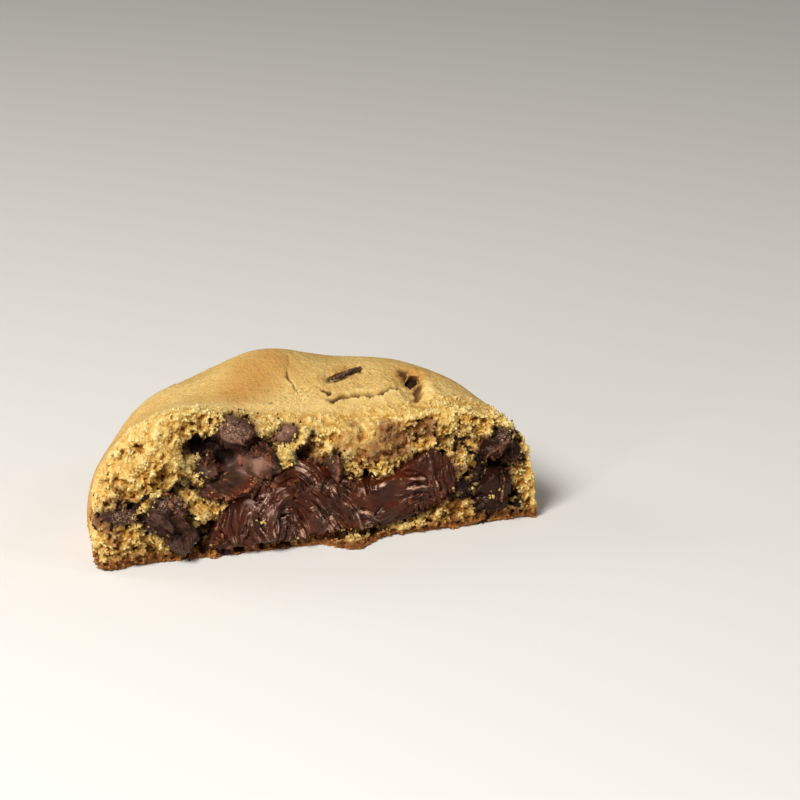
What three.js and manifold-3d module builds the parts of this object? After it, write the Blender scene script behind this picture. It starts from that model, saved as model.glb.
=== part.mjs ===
// Half of a thick, soft cookie with dark chocolate chunks and a molten chocolate heart,
// torn across its middle and lying flat on its baked base.
// Millimetres, +Z up. X runs along the tear, the torn face looks along -Y, and the baked crust lies behind it.

import * as THREE from "three";
import { ConvexGeometry } from "three/addons/geometries/ConvexGeometry.js";
import { ImprovedNoise } from "three/addons/math/ImprovedNoise.js";
import { mergeVertices } from "three/addons/utils/BufferGeometryUtils.js";
import Module from "manifold-3d";

const wasm = await Module();
wasm.setup();
const noise = new ImprovedNoise();

// ---- Driving sizes of the whole cookie ----
const COOKIE_RADIUS = 47.8; // the widest part of the rim
const COOKIE_HEIGHT = 29; // the dough's general height, before its swells and dips
const BASE_RADIUS = 47.4; // the flat base
const BASE_ROUND = 6.5; // height over which the side swells out from the base
const UNDER_BASE = 2; // dough below the base plane, cut off flat
const EDGE_POWER = 8; // how square the shoulder is: higher is squarer
const CROWN_POWER = 2.7;
const SHOULDER_SHARE = 0.93; // where the top hands over to the side, as a share of the radius

// Swells and dips of the baked top: a place, how far each spreads in x and y, and how high it rises.
const SWELLS = [
  { name: "left ridge", x: -30, y: 4, wide: 12, deep: 12, rise: 3.4 },
  { name: "left slope", x: -41, y: 19, wide: 13, deep: 12, rise: -5.2 },
  { name: "browned hill", x: -4, y: 26, wide: 15, deep: 11, rise: 5.0 },
  { name: "sunken middle", x: 7, y: 0, wide: 22, deep: 13, rise: -5.8 },
  { name: "right shoulder", x: 38, y: 2, wide: 8, deep: 14, rise: -3.2 },
  { name: "right hill", x: 27, y: 27, wide: 12, deep: 10, rise: 1.2 },
  { name: "slump behind the hill", x: -17, y: 30, wide: 6, deep: 6, rise: -1.8 },
  { name: "thumb dip", x: 23.8, y: 12, wide: 2.3, deep: 5.2, rise: -3.0 },
];

// Slow waves round the rim: how many go round, how strong each is, and where it starts.
const RIM_WAVES = [
  { count: 1, share: 0.02, start: -1.57 },
  { count: 3, share: 0.005, start: 0.4 },
  { count: 7, share: 0.005, start: 1.9 },
  { count: 13, share: 0.003, start: 3.1 },
];

// ---- The tear ----
const TEAR_LEAN = 5.2; // how far the face leans back from base to top
const TEAR_SET_FORWARD = 1.1; // the base edge stands this far in front of the middle plane
const TEAR_SKEW = 0.02; // and comes forward this much more for each millimetre to the right
const BASE_TONGUE = { x: 5.2, wide: 5.2, thick: 2.4, reach: 5.6 }; // base crust left sticking out
const CLOD = { size: 5.6, rise: 1.7 }; // rounded clods of crumb on the face
const CRUMB = { size: 2.7, rise: 0.7 }; // and the smaller crumbs on them

// The largest lumps and hollows of the torn crumb: a place in x and z, spreads, and how far it stands out.
const LUMPS = [
  { name: "left lump", x: -36, z: 20, wide: 7.5, high: 7.5, out: 2.0 },
  { name: "crumb by the left edge", x: -40.5, z: 5, wide: 4.5, high: 3.6, out: 1.4 },
  { name: "crumb under the upper chunk", x: -22.5, z: 10.8, wide: 5, high: 2.6, out: 1.2 },
  { name: "pillar beside the upper chunk", x: -7.4, z: 18.6, wide: 3, high: 4.4, out: 1.3 },
  { name: "curtain", x: 12, z: 16.4, wide: 5, high: 4.6, out: 1.9 },
  { name: "recess over the heart", x: 22, z: 19.4, wide: 8, high: 2.6, out: -1.2 },
  { name: "recess by the upper chunk", x: -27, z: 24, wide: 3.4, high: 3, out: -1.4 },
  { name: "base crumb", x: 24, z: 2.4, wide: 13, high: 2.6, out: 1.3 },
  { name: "round the lower left chunk", x: -32, z: 7.6, wide: 6, high: 6, out: -2 },
  { name: "round the right chunks", x: 39.5, z: 11.5, wide: 5.5, high: 8.5, out: -2 },
];

// ---- The molten heart ----
const HEART_MIDDLE = [2.5, 8];
// Its outline on the torn face, from its right end over the top and back along the base.
const HEART_OUTLINE = [
  [29.6, 10.4], [28.4, 14], [24.4, 17.4], [18.8, 15], [12.8, 13.2], [6.4, 13.4], [1.6, 15.6],
  [-3, 18], [-6.8, 16.6], [-13, 14.2], [-19.6, 11.2], [-23, 6.6], [-24.6, 2.2], [-15.8, 1.9],
  [-7, 1.9], [2, 2.1], [9.5, 2.5], [17.4, 3.4], [25.6, 6],
];
const HEART_DEPTH = 24; // how far it runs into the dough
const HEART_BULGE = 1.6; // how far it swells out of the tear
const HEART_EDGE_IN = 0.5; // its rim lies this far behind the crumb

// Folds pulled into the molten chocolate: start, middle and end in x and z, then width and rise.
const HEART_FOLDS = [
  { line: [[-20, 10], [-18, 6], [-20, 3]], width: 2.4, rise: 0.8 },
  { line: [[-14.5, 12.4], [-10.5, 8], [-13, 3]], width: 2.4, rise: 1.1 },
  { line: [[-8, 13.5], [-2.5, 10.5], [-3.5, 3.4]], width: 2.4, rise: 1.0 },
  { line: [[-3, 15.5], [2, 10.5], [7, 4.4]], width: 2.4, rise: 1.2 },
  { line: [[8, 11], [11, 7.4], [15, 5.8]], width: 2.2, rise: 0.9 },
  { line: [[12, 11.4], [18, 11.6], [25, 11.4]], width: 2.2, rise: 1.1 },
];

// ---- Chocolate chunks ----
const CHUNK_GAP = 0.42; // room round each chunk in its pocket
// Each is one chopped block or a few fused. at: centre in x, y, z, with y counted from the sweep of the tear
// for those that show in it; size: length along its own x, y, z; turn: degrees about x, y, z; corners: how
// many the block has.
const CHUNKS = [
  {
    name: "chunk_upper_left",
    inTear: true,
    blocks: [
      { at: [-17.8, 7.0, 20.4], size: [18, 9, 13.6], turn: [0, 14, 0], corners: 22, seed: 3 },
      { at: [-17.2, 2.4, 25.2], size: [9, 8.6, 5.6], turn: [0, 12, 0], corners: 26, seed: 5 },
      { at: [-12.4, 2.3, 18.3], size: [7.6, 9, 7], turn: [0, -26, -12], corners: 16, seed: 8 },
      { at: [-20, 2.1, 13.9], size: [14, 9, 3], turn: [0, 4, 0], corners: 18, seed: 12 },
      { at: [-24, 3.0, 17.2], size: [6.4, 7, 4.6], turn: [0, -14, 20], corners: 18, seed: 14 },
    ],
  },
  {
    name: "chunk_under_crust",
    inTear: true,
    blocks: [{ at: [-6.9, 1.4, 23.4], size: [6.8, 5.4, 3], turn: [0, -10, 0], corners: 22, seed: 11 }],
  },
  {
    name: "chunk_splinter",
    inTear: true,
    blocks: [{ at: [3.0, 0.7, 15.2], size: [2.2, 4.6, 6.4], turn: [0, 6, 12], corners: 20, seed: 17 }],
  },
  {
    name: "chunk_lower_left",
    inTear: true,
    blocks: [
      { at: [-33.4, 2.3, 10.0], size: [9.6, 8, 10], turn: [0, 30, 6], corners: 22, seed: 23 },
      { at: [-30.2, 2.1, 5.1], size: [9.4, 8, 7], turn: [0, 48, -6], corners: 20, seed: 27 },
    ],
  },
  {
    name: "chunk_left_edge",
    inTear: true,
    blocks: [{ at: [-42.8, 1.0, 11.2], size: [8.8, 5, 2.8], turn: [0, 8, 0], corners: 22, seed: 31 }],
  },
  {
    name: "chunk_right_upper",
    inTear: true,
    blocks: [
      { at: [38.6, 2.3, 16.9], size: [11, 7.5, 4.8], turn: [0, -34, -8], corners: 18, seed: 41 },
      { at: [42, 2.6, 14.2], size: [6.2, 7, 5.2], turn: [0, -60, 0], corners: 16, seed: 43 },
    ],
  },
  {
    name: "chunk_right_lower",
    inTear: true,
    blocks: [
      { at: [38.2, 2.3, 8.2], size: [8.8, 8, 7.6], turn: [0, -42, -10], corners: 18, seed: 47 },
      { at: [37.4, 2.1, 4.4], size: [9.4, 7, 5.2], turn: [0, -14, 0], corners: 20, seed: 49 },
    ],
  },
  { name: "chunk_crust_sliver", blocks: [{ at: [11, 19.4, 28.4], size: [12.6, 2.4, 4.6], turn: [18, -3, 22], corners: 22, seed: 53 }] },
  { name: "chunk_crust_dip", blocks: [{ at: [25.8, 17.4, 25.2], size: [5.4, 6.4, 5], turn: [20, -24, 0], corners: 23, seed: 59 }] },
  { name: "chunk_crust_back", blocks: [{ at: [26, 30, 23.6], size: [8.4, 5.4, 6.4], turn: [-30, 14, -40], corners: 23, seed: 67 }] },
];

// Hollows torn into the face: centre, with y counted from the sweep of the tear, and size in x, y, z.
const HOLLOWS = [
  { name: "mouth of the upper chunk", at: [-18.4, 0, 20.4], size: [17.6, 11, 13.4] },
  { name: "beside the upper chunk", at: [-26, 1, 23], size: [6.4, 11, 4.6] },
  { name: "under the crust", at: [-2.6, 0.6, 19.6], size: [5.2, 8, 2.8] },
  { name: "right vent", at: [29.8, 0.6, 17.8], size: [2.6, 8, 4] },
  { name: "left crease", at: [-29.5, 0.6, 15.4], size: [7, 6, 1.8] },
  { name: "base gap", at: [-25.5, 0.6, 4.4], size: [3.2, 13, 7] },
];

// ---- Mesh fineness ----
const CRUST_CELLS = 40;
const RIM_CELLS = 8;
const TEAR_CELL = 1.2;
const HEART_CELLS = { across: 30, deep: 4, high: 11 };

// Origin: the middle of the half's footprint, measured from the middle plane of the tear.
const ORIGIN = { x: -0.45, y: 20 };

// ---------------------------------------------------------------- helpers

const GOLDEN_ANGLE = Math.PI * (3 - Math.sqrt(5));
const hill = (distance) => Math.exp(-distance * distance);
const smooth = (t) => THREE.MathUtils.smoothstep(t, 0, 1);

// A repeatable number from 0 to 1 for a lattice place.
function draw(i, j, k) {
  let h = Math.imul(i, 374761393) ^ Math.imul(j, 668265263) ^ Math.imul(k, 974634777);
  h = Math.imul(h ^ (h >>> 13), 1274126177);
  return ((h ^ (h >>> 16)) >>> 0) / 4294967296;
}

// Rounded clods packed side by side: 1 on top of a clod, 0 in the creases between them.
function clods(x, z, size, seed) {
  const column = Math.floor(x / size);
  const row = Math.floor(z / size);
  let nearest = Infinity;
  for (let i = column - 1; i <= column + 1; i++) {
    for (let j = row - 1; j <= row + 1; j++) {
      const cx = (i + draw(i, j, seed)) * size;
      const cz = (j + draw(i, j, seed + 1)) * size;
      nearest = Math.min(nearest, Math.hypot(x - cx, z - cz));
    }
  }
  return Math.sqrt(Math.max(0, 1 - (nearest / size) ** 2));
}

// Moves each vertex of a three.js geometry by a rule, with the seams closed first.
function moulded(geometry, rule) {
  geometry.deleteAttribute("normal");
  geometry.deleteAttribute("uv");
  const closed = mergeVertices(geometry);
  const position = closed.getAttribute("position");
  for (let i = 0; i < position.count; i++) {
    position.setXYZ(i, ...rule(position.getX(i), position.getY(i), position.getZ(i)));
  }
  return closed;
}

function solidOf(geometry) {
  return new wasm.Manifold(
    new wasm.Mesh({
      numProp: 3,
      vertProperties: new Float32Array(geometry.getAttribute("position").array),
      triVerts: new Uint32Array(geometry.index.array),
    }),
  );
}

function geometryOf(solid) {
  const mesh = solid.getMesh();
  const geometry = new THREE.BufferGeometry();
  geometry.setAttribute("position", new THREE.BufferAttribute(mesh.vertProperties, 3));
  geometry.setIndex(new THREE.BufferAttribute(mesh.triVerts, 1));
  geometry.computeVertexNormals();
  return geometry;
}

function pieceOf(name, solid, material) {
  const mesh = new THREE.Mesh(geometryOf(solid), material);
  mesh.name = name;
  return mesh;
}

// ---------------------------------------------------------------- the baked cookie

function rimRadius(angle) {
  let share = 1;
  for (const wave of RIM_WAVES) share += wave.share * Math.sin(wave.count * angle + wave.start);
  return COOKIE_RADIUS * share;
}

function crownHeight(x, y) {
  let height = COOKIE_HEIGHT;
  for (const s of SWELLS) height += s.rise * hill(Math.hypot((x - s.x) / s.wide, (y - s.y) / s.deep));
  return height + 0.45 * noise.noise(x / 8, y / 8, 3.7);
}

// A box of cells moulded to the whole cookie: u and v run across it, w from the base to the top.
function cookie() {
  const shoulderHeight = (1 - SHOULDER_SHARE ** EDGE_POWER) ** (1 / CROWN_POWER);
  return moulded(new THREE.BoxGeometry(2, 2, 2, CRUST_CELLS, CRUST_CELLS, RIM_CELLS), (u, v, w) => {
    const a = u * Math.sqrt(1 - (v * v) / 2);
    const b = v * Math.sqrt(1 - (u * u) / 2);
    const out = Math.hypot(a, b);
    const angle = Math.atan2(b, a);
    const rim = rimRadius(angle);
    const onTop = w > 1 - 1e-6;
    const level = onTop
      ? (1 - (SHOULDER_SHARE * out) ** EDGE_POWER) ** (1 / CROWN_POWER)
      : (shoulderHeight * (w + 1)) / 2;
    const share = onTop ? SHOULDER_SHARE * out : out * (1 - level ** CROWN_POWER) ** (1 / EDGE_POWER);
    const z = w < -1 + 1e-6 ? -UNDER_BASE : level * crownHeight(rim * share * Math.cos(angle), rim * share * Math.sin(angle));
    const radius = share * THREE.MathUtils.lerp(BASE_RADIUS, rim, smooth(z / BASE_ROUND));
    return [radius * Math.cos(angle), radius * Math.sin(angle), z];
  });
}

// ---------------------------------------------------------------- the torn face

// The slow sweep of the tear: its depth behind the middle plane at a place on the face.
function sweep(x, z) {
  const up = THREE.MathUtils.clamp(z / COOKIE_HEIGHT, 0, 1.3);
  const lean = TEAR_LEAN * (0.75 + 0.25 * Math.cos(x / 13)) * up ** 1.6;
  return lean - TEAR_SET_FORWARD - TEAR_SKEW * x + 0.9 * noise.noise(x / 11, z / 11, 0.5);
}

// The torn crumb: the sweep, with the tongue of base crust, the lumps, and the clods and crumbs on them.
function tear(x, z) {
  const tongue = BASE_TONGUE.reach * hill((x - BASE_TONGUE.x) / BASE_TONGUE.wide) * hill(z / BASE_TONGUE.thick);
  let out = tongue - 0.75 * (CLOD.rise + CRUMB.rise);
  out += CLOD.rise * clods(x, z, CLOD.size, 5) + CRUMB.rise * clods(x, z, CRUMB.size, 9);
  for (const lump of LUMPS) out += lump.out * hill(Math.hypot((x - lump.x) / lump.wide, (z - lump.z) / lump.high));
  return sweep(x, z) - out;
}

// Everything behind the torn face, to be shared with the cookie.
function behindTear() {
  const width = 2 * COOKIE_RADIUS + 8;
  const height = COOKIE_HEIGHT + 12;
  const depth = COOKIE_RADIUS + 6;
  const cells = [Math.round(width / TEAR_CELL), Math.round(height / TEAR_CELL)];
  const box = new THREE.BoxGeometry(width, depth, height, cells[0], 1, cells[1]);
  box.translate(0, depth / 2, height / 2);
  return moulded(box, (x, y, z) => [x, y < depth / 2 ? tear(x, z) : y, z]);
}

// ---------------------------------------------------------------- the molten heart

const heartOutline = new THREE.CatmullRomCurve3(
  HEART_OUTLINE.map(([x, z]) => new THREE.Vector3(x, 0, z)),
  true,
);
const heartFolds = HEART_FOLDS.map((fold) => ({
  ...fold,
  points: new THREE.QuadraticBezierCurve(...fold.line.map(([x, z]) => new THREE.Vector2(x, z))).getPoints(12),
}));

function foldRise(x, z) {
  let rise = 0;
  for (const fold of heartFolds) {
    let nearest = Infinity;
    for (const p of fold.points) nearest = Math.min(nearest, Math.hypot(x - p.x, z - p.y));
    rise = Math.max(rise, fold.rise * hill(nearest / fold.width));
  }
  return rise;
}

// A box of cells rounded to a ball and moulded to the heart. Grown, it is the pocket: wider all round and
// open at the front.
function heart(grow, open) {
  const box = new THREE.BoxGeometry(2, 2, 2, HEART_CELLS.across, HEART_CELLS.deep, HEART_CELLS.high);
  const frontOfAll = -COOKIE_RADIUS / 2;
  return moulded(box, (u, w, v) => {
    const [sx, sy, sz] = new THREE.Vector3(u, w, v).normalize().toArray();
    const out = Math.min(1, Math.hypot(sx, sz));
    const turn = (Math.atan2(sz, sx) / (2 * Math.PI) + 1) % 1;
    const edge = heartOutline.getPointAt(turn);
    const along = heartOutline.getTangentAt(turn);
    let x = HEART_MIDDLE[0] + (edge.x - HEART_MIDDLE[0]) * out;
    let z = HEART_MIDDLE[1] + (edge.z - HEART_MIDDLE[1]) * out;
    const rim = sweep(x, z) + HEART_EDGE_IN;
    const swell = (HEART_BULGE + foldRise(x, z)) * (1 - out ** 6);
    x += along.z * grow * out;
    z -= along.x * grow * out;
    if (sy > 0) return [x, rim + (HEART_DEPTH + grow) * sy, z];
    return [x, open ? rim + (frontOfAll - rim) * Math.min(1, -sy * 8) : rim - swell, z];
  });
}

// ---------------------------------------------------------------- chunks and hollows

// A chopped block of chocolate: the hull of corners set out round a squarish ball, each pushed in by chance.
function block({ at, size, turn, corners, seed }, grow, inTear) {
  const points = [];
  for (let i = 0; i < corners; i++) {
    const up = 1 - (2 * i + 1) / corners;
    const around = i * GOLDEN_ANGLE + seed;
    const flat = Math.sqrt(1 - up * up);
    const direction = [flat * Math.cos(around), flat * Math.sin(around), up];
    const square = direction.reduce((sum, c) => sum + c ** 4, 0) ** -0.25;
    const reach = square * (0.84 + 0.16 * draw(i, 1, seed));
    points.push(new THREE.Vector3(...direction.map((c, axis) => c * reach * (size[axis] / 2 + grow))));
  }
  const hull = moulded(new ConvexGeometry(points), (x, y, z) => [x, y, z]);
  const [rx, ry, rz] = turn.map(THREE.MathUtils.degToRad);
  hull.applyMatrix4(new THREE.Matrix4().makeRotationFromEuler(new THREE.Euler(rx, ry, rz)));
  return hull.translate(at[0], at[1] + (inTear ? sweep(at[0], at[2]) : 0), at[2]);
}

function hollow({ at, size }) {
  const ball = new THREE.IcosahedronGeometry(1, 2);
  const depth = at[1] + sweep(at[0], at[2]);
  return moulded(ball, (x, y, z) => {
    const rough = 0.5 * (1 + 0.14 * noise.noise(3 * x + at[0], 3 * y, 3 * z));
    return [at[0] + x * size[0] * rough, depth + y * size[1] * rough, at[2] + z * size[2] * rough];
  });
}

function chunk(spec, grow) {
  const [first, ...others] = spec.blocks.map((b) => solidOf(block(b, grow, spec.inTear)));
  return others.reduce((whole, b) => whole.add(b), first);
}

// ---------------------------------------------------------------- materials

const crumbFinish = new THREE.MeshStandardMaterial({ color: "#d2a857", roughness: 0.85, metalness: 0 });
const heartFinish = new THREE.MeshStandardMaterial({ color: "#3a1d16", roughness: 0.25, metalness: 0 });
const chunkFinish = new THREE.MeshStandardMaterial({ color: "#3d2722", roughness: 0.45, metalness: 0 });

// ---------------------------------------------------------------- the half cookie

const half = new THREE.Group();
half.position.set(-ORIGIN.x, -ORIGIN.y, 0);

let dough = solidOf(cookie()).intersect(solidOf(behindTear()));
let molten = solidOf(heart(0, false));
dough = dough.subtract(solidOf(heart(CHUNK_GAP, true)));
for (const spec of CHUNKS) {
  const pocket = chunk(spec, CHUNK_GAP);
  dough = dough.subtract(pocket);
  molten = molten.subtract(pocket);
}
for (const spec of HOLLOWS) dough = dough.subtract(solidOf(hollow(spec)));
half.add(pieceOf("dough", dough, crumbFinish));
half.add(pieceOf("molten_heart", molten, heartFinish));
for (const spec of CHUNKS) half.add(pieceOf(spec.name, chunk(spec, 0), chunkFinish));

export default half;
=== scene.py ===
"""Looks of half of a thick, soft cookie with dark chocolate chunks and a molten chocolate heart.

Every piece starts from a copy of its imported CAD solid. Places and sizes are in millimetres in the row frame:
X runs along the tear, the torn face looks along -Y, and the baked crust lies behind it.
"""

import math

import bmesh
import bpy
import numpy as np
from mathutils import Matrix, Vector


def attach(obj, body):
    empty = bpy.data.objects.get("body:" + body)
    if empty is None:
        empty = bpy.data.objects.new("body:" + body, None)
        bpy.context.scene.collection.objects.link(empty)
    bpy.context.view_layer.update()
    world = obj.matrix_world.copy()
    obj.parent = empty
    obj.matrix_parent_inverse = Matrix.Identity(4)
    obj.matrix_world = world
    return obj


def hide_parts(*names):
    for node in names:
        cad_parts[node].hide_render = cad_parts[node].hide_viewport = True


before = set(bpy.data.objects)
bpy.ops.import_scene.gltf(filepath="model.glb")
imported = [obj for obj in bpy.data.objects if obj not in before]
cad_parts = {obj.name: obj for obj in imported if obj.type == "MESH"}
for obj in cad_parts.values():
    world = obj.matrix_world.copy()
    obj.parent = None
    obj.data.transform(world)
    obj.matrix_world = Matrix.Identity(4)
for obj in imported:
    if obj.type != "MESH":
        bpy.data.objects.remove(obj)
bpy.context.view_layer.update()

MM = 0.001

# ---- The tear, as in the part's source ----
TEAR_MIDDLE = np.array([0.45, -20.0, 0.0])  # the foot of the middle of the tear, in the row frame

# ---- Fineness of the meshes: the edge of a remeshed face, in mm ----
DOUGH_VOXEL = 0.5
CRUMB_VOXEL = 0.3
CHOCOLATE_VOXEL = 0.24
SAME_POINT = 0.002 * MM  # corners of CAD triangles nearer than this are one point
DOUGH_TRIANGLES = 190_000

# ---- Crumb of the torn face: the size of a clod or crumb, and how far it stands out, in mm ----
CLODS = {
    "Coarse size": 4.4, "Coarse rise": 2.0, "Fine size": 2.3, "Fine rise": 1.4, "Pit size": 2.4, "Pit depth": 2.4
}
CRUMBS = {
    "Coarse size": 1.2, "Coarse rise": 0.65, "Fine size": 0.7, "Fine rise": 0.5, "Pit size": 1.3, "Pit depth": 0.8
}
FACE_DEPTH = 10.0  # crumb further behind the foot of the tear than this is out of sight and stays plain
# Left of x the crust is torn off as far round as y, but not between the heights z.
WRAP = {"x": -33.0, "y": 6.0, "z": (7.0, 13.0)}
TORN_EDGE = 2.0  # width over which baked crust gives way to torn crumb
HUG = {"Reach": 1.1, "Overlap": 0.25}  # dough this near to chocolate closes on it, and a little over

# ---- Crust: low relief, in mm ----
CRUST = {
    "Swell size": 5.5, "Swell rise": 0.9, "Pimple size": 1.5, "Pimple rise": 0.34, "Pore size": 2.6, "Pore depth": 0.35
}
# Cracks in the crust: points by x and y from the foot of the tear, then width and depth.
CRACKS = [
    ([(0.4, 25), (-0.8, 20.5), (-1.6, 17.2), (-1.3, 14.7), (-0.6, 11.5), (0.8, 9.6)], 0.27, 0.4),
    ([(4.6, 12.2), (5.9, 11.2), (8.2, 12.1), (10.1, 11.8), (13.3, 12.2)], 0.4, 1),
    ([(9.6, 12), (13.3, 12.2), (16.2, 12.1), (18.4, 12.3), (20.6, 13.3), (22.4, 14.6)], 0.42, 1.9),
    ([(23.4, 20.4), (24.9, 18.2), (25.8, 15.6), (25.3, 12.4), (24.4, 8.6)], 1.1, 1.3),
    ([(6.4, 16.2), (9, 17.6), (12.6, 19.8), (15.8, 21.6)], 0.55, 0.9),
    ([(-25.4, 3.2), (-24, 3.7)], 0.6, 1),
    ([(-7.7, 11), (-6.7, 11.3)], 0.4, 0.7),
    ([(4.2, 13.9), (6.4, 12.8)], 0.45, 0.9),
    ([(18.6, 4.6), (19, 2.4), (19.6, 1)], 0.3, 0.6),
    ([(23, 6), (23.8, 4.6), (23.9, 3)], 0.3, 0.6),
]
# Browned places on the crust: x, y and radius.
BROWNED = [(-9.4, 19, 6.5), (-4, 22, 5), (-14, 14, 4), (25.5, 17.5, 3.6), (11, 19.5, 2.4)]
# Places where the crust is crumbly: x, y and radius.
CRUMBLY = [
    (28, 8, 5.5), (34, 5, 5), (21, 9, 3.4), (14, 10.2, 2.6), (9, 9.6, 2), (7.4, 11.4, 1.2), (11, 11.2, 1.2),
    (14.6, 11.2, 1.3), (38.5, 6, 4), (14, 4.5, 2.4), (-2, 4.5, 2), (-31, 4, 3),
]
# Holes in the crumb: x, z, radius and depth.
HOLES = [
    (-33, 17.6, 1.3, 2), (-45, 19.5, 0.9, 1.2), (-42.6, 18.3, 0.9, 1.6), (-34.9, 16.3, 0.8, 1.4),
    (-32.3, 19.3, 1.2, 1.8), (-28.1, 17.2, 1.1, 1.6), (-29.6, 28.6, 0.9, 1.2), (-31.5, 13.9, 1.3, 2),
    (-29.6, 13.2, 1.2, 2), (-39, 25.5, 0.9, 1.2), (28.3, 18.6, 1.3, 2.4), (33, 22, 1, 1.4), (22, 19.6, 0.9, 1.2),
    (8, 22.6, 0.9, 1), (-36.2, 4.8, 1, 1.2), (-25, 4.4, 2.6, 4), (27.5, 6.2, 1.8, 1.6), (45, 8, 1, 1),
    (38, 12.8, 2.2, 2.2), (34, 13.6, 1.6, 1.6),
]
# Crumb stained by the chocolate near it: x, z and radius.
STAINED = [
    (-43, 14, 3), (-45.2, 13.8, 2), (-45.5, 9, 2.4), (-32, 13.5, 3), (-24, 8, 3), (-8, 15.5, 2), (1.5, 17, 3.5),
    (7, 20, 4.5), (13, 20, 5), (19, 20.5, 4.5), (24, 21.5, 3), (29, 12, 3.5), (29.5, 7, 3), (36, 17, 3),
    (34.5, 5, 3.5), (41, 8, 3), (-1, 20, 2.5),
]
# Painted shade on the torn face: x, z and radius.
PAINTED_SHADE_SPOTS = [(-25.5, 4.4, 2.6), (29.3, 19.1, 1.7), (-26, 23, 2.6), (-3, 20.3, 2), (30, 8, 3), (-29.5, 15.2, 1.8)]
# Crumb smeared all over with melted chocolate: x, z and radius.
SMEARED = [
    (33, 14.5, 1.8), (34, 17.5, 1.6), (32.6, 9.5, 2), (32, 5.5, 2), (32.4, 3.6, 1.9), (36.5, 3.2, 1.6),
    (42.5, 12, 1.6), (41.5, 15, 1.6), (40.8, 5, 1.6), (37.5, 13, 2.2), (36, 13.6, 2.6), (39.8, 12.6, 2.4),
    (34.4, 9, 2.2), (-39.5, 13.5, 1.8), (-36.5, 9.5, 2.2), (-42.5, 13, 1.4), (31, 8, 2.4), (33, 12, 1.6),
    (31.5, 4.2, 1.4), (-47.2, 9, 0.9), (-31.5, 3.2, 2), (-27, 9, 1.6), (-20.5, 3, 2), (26.5, 20.8, 1.5),
    (21.5, 22.2, 1.5), (-10, 14, 1.6), (-26, 23, 1.6), (28, 9, 2),
]

# Small things set into a surface: how large, the least space between two, how many for each square
# millimetre at most, length and thickness as shares of the size, how far each corner strays, and a seed.
GRAIN_SIZES = ("Size", "Spacing", "Density", "Long", "Thin", "Stray", "Seed")
GRAINS = {
    "crumb_grains": (0.5, 0.45, 5.0, 1.3, 0.8, 0.2, 4),
    "chocolate_bits": (0.6, 0.5, 3.0, 1.4, 0.6, 0.6, 5),
    "stray_crumbs": (0.55, 0.3, 6.0, 1.2, 0.8, 0.5, 6),
    "chocolate_shards": (1.7, 2.4, 6.0, 1.5, 0.5, 0.5, 9),
    "chocolate_shreds": (0.75, 0.32, 10.0, 2.2, 0.35, 0.6, 7),
}
# Where crumbs lie on chocolate beyond its rims, where shreds lie close, where one larger shard lies, and where
# shreds lie: x, z and radius.
CRUMBLED = [
    (-14.2, 7.2, 1.3), (-40, 10.5, 4), (5, 1.5, 2.5), (-20, 16.4, 1.2), (37, 8.6, 1.2), (37.4, 6.4, 1.3),
    (40.5, 19.4, 1.2),
]
CLUSTERED = [(-12.6, 21.8, 1.9), (-14.4, 22.4, 1.3), (-23, 20.4, 1.5), (-12.2, 16.4, 0.9), (-20.6, 16, 0.8)]
SHARDED = [(-15.4, 18.9, 0.8), (-21.8, 15.6, 0.7), (-18.6, 22.6, 0.7), (-32.6, 12.6, 0.8), (-27.4, 8.6, 0.8)]
SHREDDED = [
    (-22.5, 19.5, 1.6), (-24, 21.5, 1.6), (-15.5, 21.4, 1.4), (-11.6, 20.5, 1.4), (-12, 17, 1.2), (-12.5, 15, 1.6),
    (-15, 12.8, 1.4), (-31, 13.5, 2), (-17, 2, 2), (-22, 4, 2), (21, 6.5, 2.5), (24, 8, 2), (-6, 13.5, 1.6),
    (6, 13, 1.6), (11, 15, 2), (38, 16, 1.5),
]

# ---- Chopped chocolate: the size of its broken facets, their tilt, the steps between them, its grit, a seed, how
# far a pale bloom has come up on it, and how deep it is sunk ----
CHUNK_SIZES = ("Facet", "Tilt", "Step", "Grit", "Seed", "Bloom", "Sink")
CHUNKS = {
    "chunk_upper_left": (4.0, 0.7, 0.4, 0.3, 1, 0.2, 0.0),
    "chunk_under_crust": (2.4, 0.5, 0.3, 0.4, 2, 0.9, 0.0),
    "chunk_splinter": (2.0, 0.3, 0.2, 0.2, 3, 0.35, -0.35),
    "chunk_lower_left": (3.2, 1.3, 1.2, 0.4, 4, 0.2, 0.0),
    "chunk_left_edge": (1.6, 0.6, 0.5, 0.9, 5, 0.2, 0.0),
    "chunk_right_upper": (3.6, 0.9, 0.6, 0.3, 6, 0.0, 0.0),
    "chunk_right_lower": (3.6, 0.9, 0.6, 0.3, 7, 0.0, 0.0),
    "chunk_crust_sliver": (2.4, 0.3, 0.2, 1.3, 8, 0.5, 0.75),
    "chunk_crust_dip": (2.4, 0.4, 0.2, 0.6, 9, 0.05, 1.1),
    "chunk_crust_back": (2.4, 0.4, 0.2, 0.4, 10, 0.4, 0.3),
}
SPLIT = {"Facet": 1.1, "Tilt": 0.9, "Step": 0.4, "Grit": 0.3}  # the same, for the small facets on the large ones
# Hollows broken into chocolate: x, z, radius and depth. Places on chunks that broke off smooth: x, z and radius.
HOLLOWS = [
    (-19.2, 19.5, 2, 2.2), (-23.8, 23.2, 2.4, 2), (-32.5, 12, 1.2, 1.2), (-29, 3, 1.2, 1.2), (-26.4, 1.6, 2.6, 2.2),
    (-29.5, 1, 2.2, 1.6),
]
SMOOTH_CHUNK = [
    (-14, 18.4, 3.4), (-18, 18.4, 3.4), (-23.3, 17.2, 1.5), (-30, 9.5, 1.8), (36, 7.4, 2.8), (40.8, 7.6, 2.4),
    (38.4, 15.6, 2.8),
]
# Pale bloom: x, z and radius.
BLOOMED = [(-14.6, 18, 2.4), (-12.6, 19.2, 1.6), (-22.4, 17.2, 1.3), (-19.2, 26, 2.2), (-17, 25.4, 1.6)]
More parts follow.
